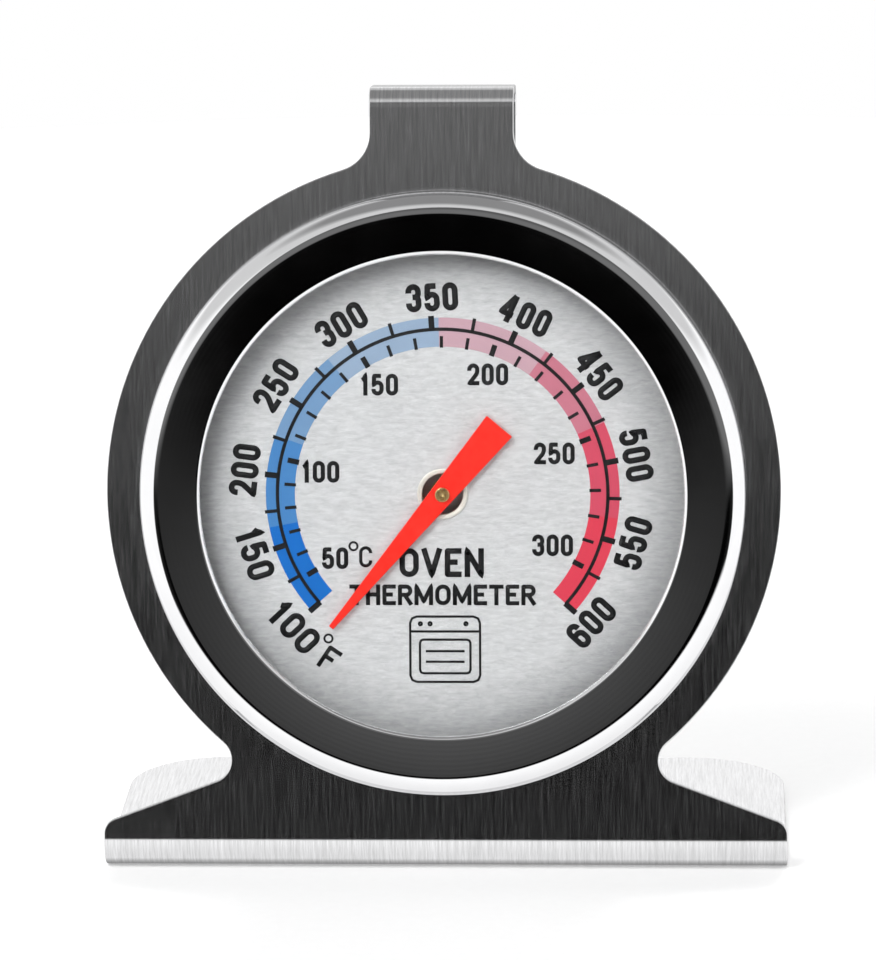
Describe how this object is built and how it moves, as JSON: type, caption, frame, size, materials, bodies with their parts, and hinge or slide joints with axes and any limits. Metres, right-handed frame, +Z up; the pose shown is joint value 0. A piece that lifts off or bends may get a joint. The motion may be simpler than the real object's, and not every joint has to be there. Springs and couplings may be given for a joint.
{
  "type": "oven thermometer",
  "caption": "Round dial oven thermometer on a folded steel plate that stands on its foot or hangs by its hook, with a pointer driven by a flat bimetal coil.",
  "frame": {"origin": "middle of the foot's underside, on the surface it stands on", "axes": "+Z up, the dial faces -Y and leans back 8 degrees, +X to the right of someone reading the dial"},
  "size_m": [0.071, 0.0411, 0.0805],
  "materials": {
    "stand_steel": "brushed up the plate",
    "case_steel": "satin, drawn",
    "bezel_steel": "mirror polished",
    "glass": "clear, flat",
    "dial_sheet": "fine brushed, printed",
    "ring_sheet": "plain",
    "eyelet_metal": "bright rolled edge",
    "strap_steel": "plain, pressed",
    "brass": "turned",
    "bimetal": "rolled, heat-tinted",
    "red_paint": "satin paint"
  },
  "bodies": {
    "gauge_body": {"stand": "stand_steel", "case": "case_steel", "bezel": "bezel_steel", "lens": "glass", "spacer_ring": "ring_sheet", "dial": "dial_sheet", "dial_eyelet": "eyelet_metal", "bridge": "strap_steel", "bridge_rivets": "strap_steel", "front_bush": "brass", "rear_bush": "brass", "bimetal_coil": "bimetal", "coil_rivet": "strap_steel"},
    "pointer_body": {"coil_collet": "brass", "arbor": "brass", "pointer_boss": "brass", "pointer": "red_paint"}
  },
  "joints": [
    {"name": "pointer_spin", "type": "hinge", "parent": "gauge_body", "child": "pointer_body", "pos_m": [0, -0.01394, 0.0395], "axis": [0, 0.9903, -0.1392], "range_deg": [-17, 273], "stiffness_Nm_per_rad": 0.0085, "deforming": ["bimetal_coil"]}
  ]
}
